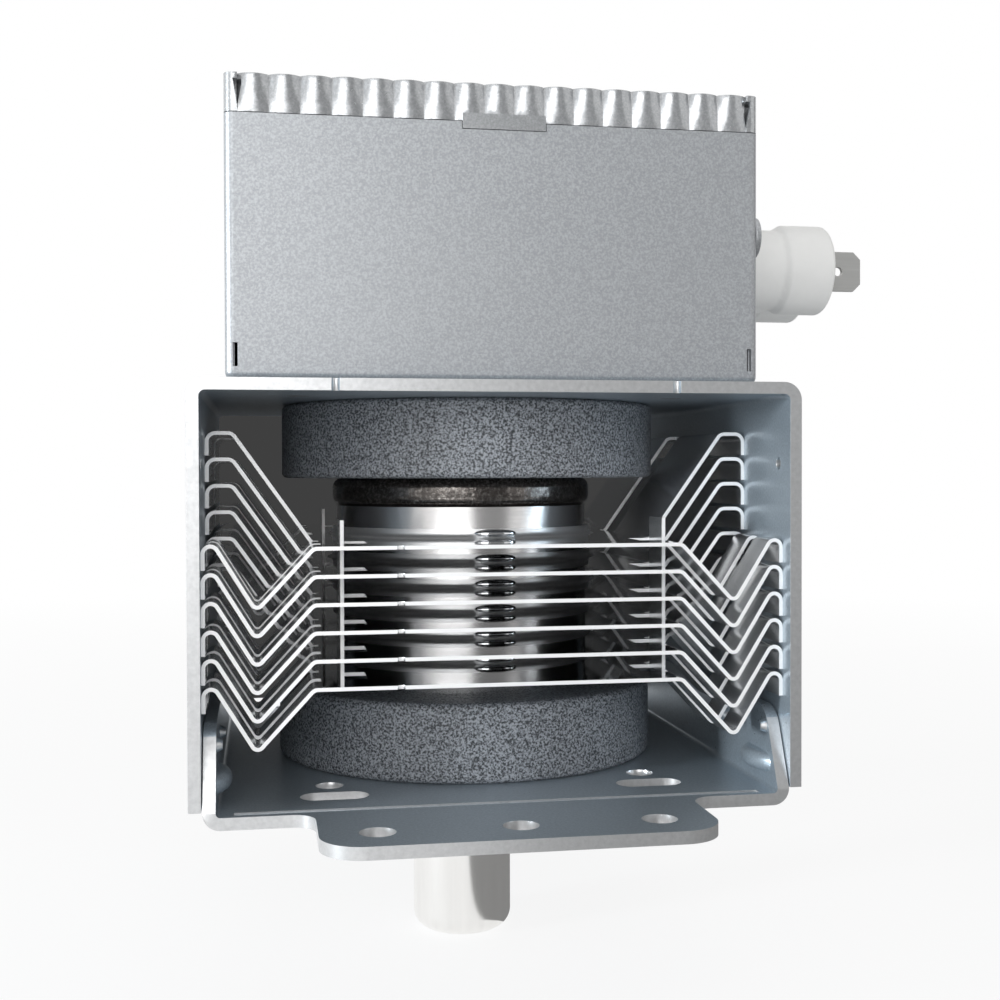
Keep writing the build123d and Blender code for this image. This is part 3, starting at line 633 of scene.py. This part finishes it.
@dataclass
class FilterBox:
    """The filter case with its lid, rivets, chokes and terminals.

    Attributes:
        edge: the width of the broken edges.
        blade_edge: the width of the broken edges of the push-on blades.
    """

    edge: float = 0.12 * MM
    blade_edge: float = 0.08 * MM

    def build(self) -> None:
        """Builds the box and what it carries."""
        DressedNode("filter_lid", ZINC_LID, self.edge).build()
        for node in ("filter_case", "capacitor_flange", "case_rivets", "flange_rivets"):
            DressedNode(node, ZINC_CASE, self.edge).build()
        DressedNode("capacitor_body", CAPACITOR).build()
        for side in ("front", "rear"):
            DressedNode(f"terminal_{side}", TINNED, self.blade_edge).build()
            DressedNode(f"choke_coil_{side}", COPPER).build()
            DressedNode(f"choke_core_{side}", CHOKE_FERRITE, self.edge).build()


@dataclass
class Tube:
    """The sealed tube with its magnets, cathode, stem and antenna.

    Attributes:
        magnet_edge: the width of the magnets' broken edges.
        bead_round: how far the dark ring's edges are rounded off.
        bead_inside: the radius within which the dark ring's cup keeps its edges.
        bead_steps: how many faces round off one edge of the dark ring.
    """

    magnet_edge: float = 0.25 * MM
    bead_round: float = 1.5 * MM
    bead_inside: float = 19.0 * MM
    bead_steps: int = 5

    def build(self) -> None:
        """Builds the tube's pieces."""
        for node in ("upper_magnet", "lower_magnet"):
            DressedNode(node, FERRITE, self.magnet_edge).build()
        DressedNode("anode_cylinder", POLISHED_COPPER).build()
        DressedNode("upper_seal_cup", DARK_OXIDE, self.bead_round, beyond=self.bead_inside,
                    steps=self.bead_steps).build()
        for node in ("lower_seal_cup", "upper_pole_piece", "lower_pole_piece"):
            DressedNode(node, BRIGHT_NICKEL).build()
        for node in ("anode_vanes", "strap_rings", "exhaust_tube", "antenna_rod"):
            DressedNode(node, COPPER).build()
        for node in ("cathode_filament", "upper_end_hat", "lower_end_hat", "centre_lead",
                     "side_lead"):
            DressedNode(node, TUNGSTEN).build()
        for node in ("stem_insulator", "antenna_insulator"):
            DressedNode(node, CERAMIC).build()
        DressedNode("antenna_cap", CAP_STEEL).build()
        KnittedGasket().build()


@dataclass
class KnittedGasket:
    """The ring of knitted wire that seals the antenna's neck to the oven.

    Attributes:
        node: the gasket's CAD node.
        wire: the wire's radius.
        turns: how often a wire winds about the ring's section in one round.
        strands: the wires that wind each way.
        points_per_turn: the points of a wire in one turn about the section.
        squareness: two for a round section, and more for a squarer one.
        core_inset: how far the dark core, painted shade inside the knit, lies under the gasket's
            surface.
        order: the order of the wires' curves.
    """

    node: str = "rf_gasket"
    wire: float = 0.17 * MM
    turns: int = 26
    strands: int = 4
    points_per_turn: int = 14
    squareness: float = 3.0
    core_inset: float = 0.40 * MM
    order: int = 3

    def build(self) -> None:
        """Builds the wires and, under them, a dark core that paints the shade inside the knit."""
        low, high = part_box(self.node)
        core = DressedNode(self.node, BRAID_SHADE_CORE).shape()
        core.normal_update()
        for vert in core.verts:
            vert.co -= vert.normal * self.core_inset
        Piece("gasket_shade_core", core, BRAID_SHADE_CORE).instead_of(self.node)
        Piece("gasket_wires", self.wires(low, high), BRAID, crease=60.0).instead_of(self.node)

    def wires(self, low: Vector, high: Vector) -> bmesh.types.BMesh:
        """Winds the wires round the ring, half of them each way.

        Args:
            low: the gasket's lowest corner.
            high: the gasket's highest corner.

        Returns:
            The wires' shape.
        """
        curve = bpy.data.curves.new("wires", "CURVE")
        curve.dimensions = "3D"
        curve.bevel_depth = self.wire
        curve.bevel_resolution = 1
        for hand in (-1, 1):
            for strand in range(self.strands):
                self.lay_strand(curve, low, high, hand, 2 * pi * (strand + hand / 4) / self.strands)
        thing = bpy.data.objects.new("wires", curve)
        mesh = bmesh.new()
        mesh.from_mesh(bpy.data.meshes.new_from_object(thing))
        bpy.data.objects.remove(thing)
        return mesh

    def lay_strand(self, curve: bpy.types.Curve, low: Vector, high: Vector, hand: int,
                   phase: float) -> None:
        """Adds one closed wire that winds about the ring's own section as it goes round the tube.

        Args:
            curve: the curve that takes the wire.
            low: the gasket's lowest corner.
            high: the gasket's highest corner.
            hand: plus or minus one, the way it winds.
            phase: where in the section it starts.
        """
        inner = self.inner_radius()
        half_width = (high.x - inner) / 2 - self.wire
        half_height = (high.z - low.z) / 2 - self.wire
        count = self.turns * self.points_per_turn
        spline = curve.splines.new("NURBS")
        spline.points.add(count - 1)
        for number, point in enumerate(spline.points):
            round_tube = 2 * pi * number / count
            swing = hand * self.turns * round_tube + phase
            out, up = (copysign(abs(part) ** (2 / self.squareness), part)
                       for part in (cos(swing), sin(swing)))
            reach = (high.x + inner) / 2 + half_width * out
            point.co = (reach * cos(round_tube), reach * sin(round_tube),
                        (low.z + high.z) / 2 + half_height * up, 1.0)
        spline.order_u = self.order
        spline.use_cyclic_u = True

    def inner_radius(self) -> float:
        """The radius of the gasket's hole, read from its solid."""
        return min(vert.co.xy.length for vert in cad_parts[self.node].data.vertices)


@dataclass
class CoolingFins:
    """The stack of six bent fins.

    Attributes:
        count: how many fins there are.
        edge: the width of the broken edges.
        lowest: the level of the lowest fin's underside.
        pitch: the step from fin to fin.
        sheet: the thickness of a fin.
        collar_radius: the outer radius of a collar.
        collar_reach: the radius within which a fin's faces belong to its collar and its foot.
        seam_middle: how far right of the front the seam lies, along the collar.
        seam_width: the width of a crimp.
        seam_height: the height of a crimp.
        seam_reach: how far a crimp stands out of the collar, and as far into it.
        seam_bluntness: one for rounded ends of a crimp, and less for blunter ones.
        seam_facets: the faces round a crimp and along it.
    """

    count: int = 6
    edge: float = 0.05 * MM
    lowest: float = 16.5 * MM
    pitch: float = 3.6 * MM
    sheet: float = 0.5 * MM
    collar_radius: float = 20.0 * MM
    collar_reach: float = 21.2 * MM
    seam_middle: float = 2.1 * MM
    seam_width: float = 6.3 * MM
    seam_height: float = 1.3 * MM
    seam_reach: float = 1.3 * MM
    seam_bluntness: float = 0.7
    seam_facets: int = 20

    def build(self) -> None:
        """Builds the fins, each face with its own finish, and the seam on their collars."""
        for number in range(self.count):
            fin = DressedNode(f"fin_{number + 1}", ALUMINIUM, self.edge).build()
            fin.bare(CUT_ALUMINIUM, faces_an_end)
            fin.bare(COLLAR_ALUMINIUM, self.is_collar)
            fin.bare(PLATE_ALUMINIUM, self.is_plate)
        self.build_seam()

    @staticmethod
    def is_plate(face: bpy.types.MeshPolygon) -> bool:
        """Whether a face is level, as the flat of the plate is."""
        return abs(face.normal.z) > LEVEL

    def is_collar(self, face: bpy.types.MeshPolygon) -> bool:
        """Whether a face belongs to the drawn collar round the tube."""
        return face.center.xy.length < self.collar_reach and face.normal.z < NEARLY_LEVEL

    def build_seam(self) -> None:
        """Lays a pillow-shaped crimp of the seam across the front of each collar."""
        mesh = bmesh.new()
        lowest = self.lowest + self.sheet + self.seam_height / 2
        for number in range(self.count):
            self.add_crimp(mesh, lowest + number * self.pitch)
        Piece("collar_seam", mesh, BRIGHT_ALUMINIUM)

    def add_crimp(self, mesh: bmesh.types.BMesh, level: float) -> None:
        """Adds one crimp, bent round the collar and blunt at its ends.

        Args:
            mesh: the shape that takes the crimp.
            level: the height of the crimp's middle.
        """
        ball = bmesh.ops.create_uvsphere(mesh, u_segments=self.seam_facets,
                                         v_segments=self.seam_facets, radius=1.0,
                                         matrix=Matrix.Rotation(pi / 2, 4, "Y"))
        for vert in ball["verts"]:
            along = copysign(abs(vert.co.x) ** self.seam_bluntness, vert.co.x) * self.seam_width / 2
            angle = (self.seam_middle + along) / self.collar_radius
            reach = self.collar_radius - vert.co.y * self.seam_reach
            vert.co = (reach * sin(angle), -reach * cos(angle),
                       level + vert.co.z * self.seam_height / 2)


@dataclass(frozen=True)
class Sight:
    """The photograph's camera.

    Attributes:
        place: where the camera stands.
        yaw: how far it is turned to the right, in radians.
        pitch: how far it looks down, in radians.
        roll: how far it leans, in radians.
        lens: the focal length in millimetres, for a sensor of the width given.
        sensor: the sensor's width in millimetres.
        shift: the lens's vertical shift, as a share of the frame.
        nearest: the distance from which it sees.
    """

    place: tuple[float, float, float] = (-30.55 * MM, -211.92 * MM, 44.51 * MM)
    yaw: float = 0.1720
    pitch: float = 0.0170
    roll: float = 0.0025
    lens: float = 48.97
    sensor: float = 36.0
    shift: float = -0.0054
    nearest: float = 10.0 * MM

    def build(self) -> None:
        """Sets up the camera."""
        data = bpy.data.cameras.new("camera")
        data.sensor_width = self.sensor
        data.lens = self.lens
        data.shift_y = self.shift
        data.clip_start = self.nearest
        camera = bpy.data.objects.new("camera", data)
        turn = (Matrix.Rotation(-self.yaw, 4, "Z") @ Matrix.Rotation(pi / 2 - self.pitch, 4, "X")
                @ Matrix.Rotation(-self.roll, 4, "Z"))
        camera.matrix_world = Matrix.Translation(self.place) @ turn
        bpy.context.scene.collection.objects.link(camera)
        bpy.context.scene.camera = camera


@dataclass(frozen=True)
class Lamp:
    """A soft rectangular lamp.

    Attributes:
        name: the lamp's name.
        place: where it stands.
        aim: the point that it faces.
        width: its width.
        height: its height.
        power: its power in watts.
        colour: the colour of its light.
    """

    name: str
    place: tuple[float, float, float]
    aim: tuple[float, float, float]
    width: float
    height: float
    power: float
    colour: tuple[float, float, float] = (1.0, 1.0, 1.0)

    def build(self) -> None:
        """Sets up the lamp."""
        data = bpy.data.lights.new(self.name, "AREA")
        data.shape = "RECTANGLE"
        data.size = self.width
        data.size_y = self.height
        data.energy = self.power
        data.color = self.colour
        lamp = bpy.data.objects.new(self.name, data)
        turn = (Vector(self.aim) - Vector(self.place)).to_track_quat("-Z", "Y")
        lamp.matrix_world = Matrix.Translation(self.place) @ turn.to_matrix().to_4x4()
        bpy.context.scene.collection.objects.link(lamp)


@dataclass
class Studio:
    """The floor, the cards, the world and the lamps.

    Attributes:
        floor_size: the floor's side.
        floor_gap: how far under the part the floor lies.
        floor_colour: the floor's own colour.
        floor_roughness: the floor's roughness.
        near: the distance up to which the floor keeps the most of its shadows.
        far: the distance beyond which the floor is as white as the sky.
        near_glow: how much of the floor is plain white light near the part.
        sky: how strongly the sky lights the part.
        backing_inset: how far the dark card stays inside the yoke's outer faces.
        painted_shade_glow: the tone of the dark card, a faintly glowing sheet of painted shade.
        board_ends: the grey board's left and right end, from above.
        board_parts: the stretches of the board that stand, as shares of its length.
        board_height: the board's height.
        board_glow: the tone of the board and of the apron.
        apron_corner: the corner of the floor's grey apron that is nearest to the tube.
        apron_gap: how far above the part's lowest level the apron lies.
        lamps: the lamps.
    """

    floor_size: float = 12.0
    floor_gap: float = 0.05 * MM
    floor_colour: Colour = (0.92, 0.92, 0.92, 1)
    floor_roughness: float = 0.9
    near: float = 0.15
    far: float = 0.60
    near_glow: float = 0.88
    sky: float = 0.36
    backing_inset: float = 1.0 * MM
    painted_shade_glow: float = 0.050
    board_ends: tuple[tuple[float, float], tuple[float, float]] = ((0.02, -1.10), (1.10, 0.30))
    board_parts: tuple[tuple[float, float], ...] = ((0.0, 0.36), (0.74, 1.0))
    board_height: float = 1.6
    board_glow: float = 0.24
    apron_corner: tuple[float, float] = (0.006, -0.016)
    apron_gap: float = 1.0 * MM
    lamps: list[Lamp] = field(default_factory=lambda: [
        Lamp("window", (-0.85, -0.30, 0.12), (0.0, 0.0, 0.035), 0.16, 0.16, 7.2, (0.88, 0.95, 1.0)),
        Lamp("front", (-0.15, -1.10, 0.35), (0.0, 0.0, 0.04), 0.90, 0.60, 4.6),
        Lamp("overhead", (0.0, -0.20, 0.90), (0.0, 0.0, 0.05), 0.80, 0.80, 1.4),
    ])

    def build(self) -> None:
        """Sets up the floor, the cards, the world and the lamps."""
        self.build_floor()
        self.build_painted_shade_card()
        self.build_board()
        self.build_world()
        for lamp in self.lamps:
            lamp.build()
        bpy.context.scene.view_settings.view_transform = "Standard"

    @staticmethod
    def put(name: str, mesh: bmesh.types.BMesh, material: bpy.types.Material) -> bpy.types.Object:
        """Puts a mesh on the stage, beside the part.

        Args:
            name: the object's name.
            mesh: its shape.
            material: its material.

        Returns:
            The new object.
        """
        data = bpy.data.meshes.new(name)
        mesh.to_mesh(data)
        mesh.free()
        data.materials.append(material)
        thing = bpy.data.objects.new(name, data)
        bpy.context.scene.collection.objects.link(thing)
        return thing

    def build_floor(self) -> None:
        """Lays the pale floor under the antenna."""
        mesh = bmesh.new()
        bmesh.ops.create_grid(mesh, x_segments=1, y_segments=1, size=self.floor_size / 2,
                              matrix=Matrix.Translation((0, 0, cad_box[0].z - self.floor_gap)))
        self.put("floor", mesh, self.floor_material())

    def floor_material(self) -> bpy.types.Material:
        """A pale floor that the camera sees nearly white, fading to the white sky far out.

        Returns:
            The material.
        """
        material, nodes = new_material("pale_floor")
        shader = material.node_tree.nodes["Principled BSDF"]
        shader.inputs["Base Color"].default_value = self.floor_colour
        shader.inputs["Roughness"].default_value = self.floor_roughness
        distance = nodes.add("ShaderNodeVectorMath", operation="LENGTH")
        nodes.feed(distance.inputs[0], nodes.add("ShaderNodeTexCoord").outputs["Object"])
        fade = nodes.spread(distance.outputs["Value"], self.near, self.far, self.near_glow, 1.0)
        share = nodes.maths("MULTIPLY", fade, nodes.seen_share())
        nodes.show(nodes.blend(share, shader.outputs[0], nodes.glow()))
        return material

    def build_painted_shade_card(self) -> None:
        """Hangs a dark, faintly glowing card in the yoke's rear opening: painted shade that darkens
        the yoke's inside as seen from the front.

        Only the camera and reflections see it, and only from the front: it keeps no light out.
        """
        low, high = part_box("upper_yoke")
        mesh = bmesh.new()
        bmesh.ops.create_grid(mesh, x_segments=1, y_segments=1, size=0.5)
        bmesh.ops.scale(mesh, verts=mesh.verts, vec=(high.x - low.x - 2 * self.backing_inset,
                                                     high.z - low.z - 2 * self.backing_inset, 1.0))
        bmesh.ops.rotate(mesh, verts=mesh.verts, matrix=Matrix.Rotation(pi / 2, 3, "X"))
        bmesh.ops.translate(mesh, verts=mesh.verts,
                            vec=(0.0, high.y - self.backing_inset, (low.z + high.z) / 2))
        material, nodes = new_material("painted_shade_card")
        is_behind = nodes.add("ShaderNodeNewGeometry").outputs["Backfacing"]
        clear = nodes.add("ShaderNodeBsdfTransparent").outputs[0]
        # The card's faint glow is painted shade, dark wherever the yoke's inside is seen against
        # it.
        nodes.show(nodes.blend(is_behind, nodes.glow(self.painted_shade_glow), clear))
        card = self.put("painted_shade_backing", mesh, material)
        card.visible_diffuse = False
        card.visible_shadow = False

    def build_board(self) -> None:
        """Stands a grey board on the right that only reflections see, as a room's dim side."""
        left, right = (Vector(end) for end in self.board_ends)
        half = self.board_height / 2
        mesh = bmesh.new()
        for start, end in self.board_parts:
            feet = (left.lerp(right, start), left.lerp(right, end))
            corners = [(*feet[0], -half), (*feet[1], -half), (*feet[1], half), (*feet[0], half)]
            mesh.faces.new([mesh.verts.new(corner) for corner in corners])
        level = cad_box[0].z + self.apron_gap
        near_x, near_y = self.apron_corner
        apron = [(near_x, near_y, level), (*left, level), (*right, level), (near_x, right.y, level)]
        mesh.faces.new([mesh.verts.new(corner) for corner in apron])
        material, nodes = new_material("board_grey")
        nodes.show(nodes.glow(self.board_glow))
        board = self.put("grey_board", mesh, material)
        for sight in ("camera", "diffuse", "shadow", "transmission", "volume_scatter"):
            setattr(board, f"visible_{sight}", False)

    def build_world(self) -> None:
        """Sets a sky that is seen as white and lights the object softly."""
        world = bpy.data.worlds.new("studio")
        bpy.context.scene.world = world
        world.use_nodes = True
        nodes = NodeTree(world.node_tree)
        background = world.node_tree.nodes["Background"]
        background.inputs["Color"].default_value = (1, 1, 1, 1)
        strength = nodes.spread(nodes.seen_share(), 0.0, 1.0, self.sky, 1.0)
        nodes.feed(background.inputs["Strength"], strength)


def main() -> None:
    """Builds the pieces in order, then the studio and the camera."""
    logging.basicConfig(level=logging.INFO, format="%(name)s %(message)s")
    for assembly in (Yoke(), FilterBox(), Tube(), CoolingFins()):
        assembly.build()
        log.info("%s done", type(assembly).__name__)
    Sight().build()
    Studio().build()


if __name__ == "__main__":
    main()
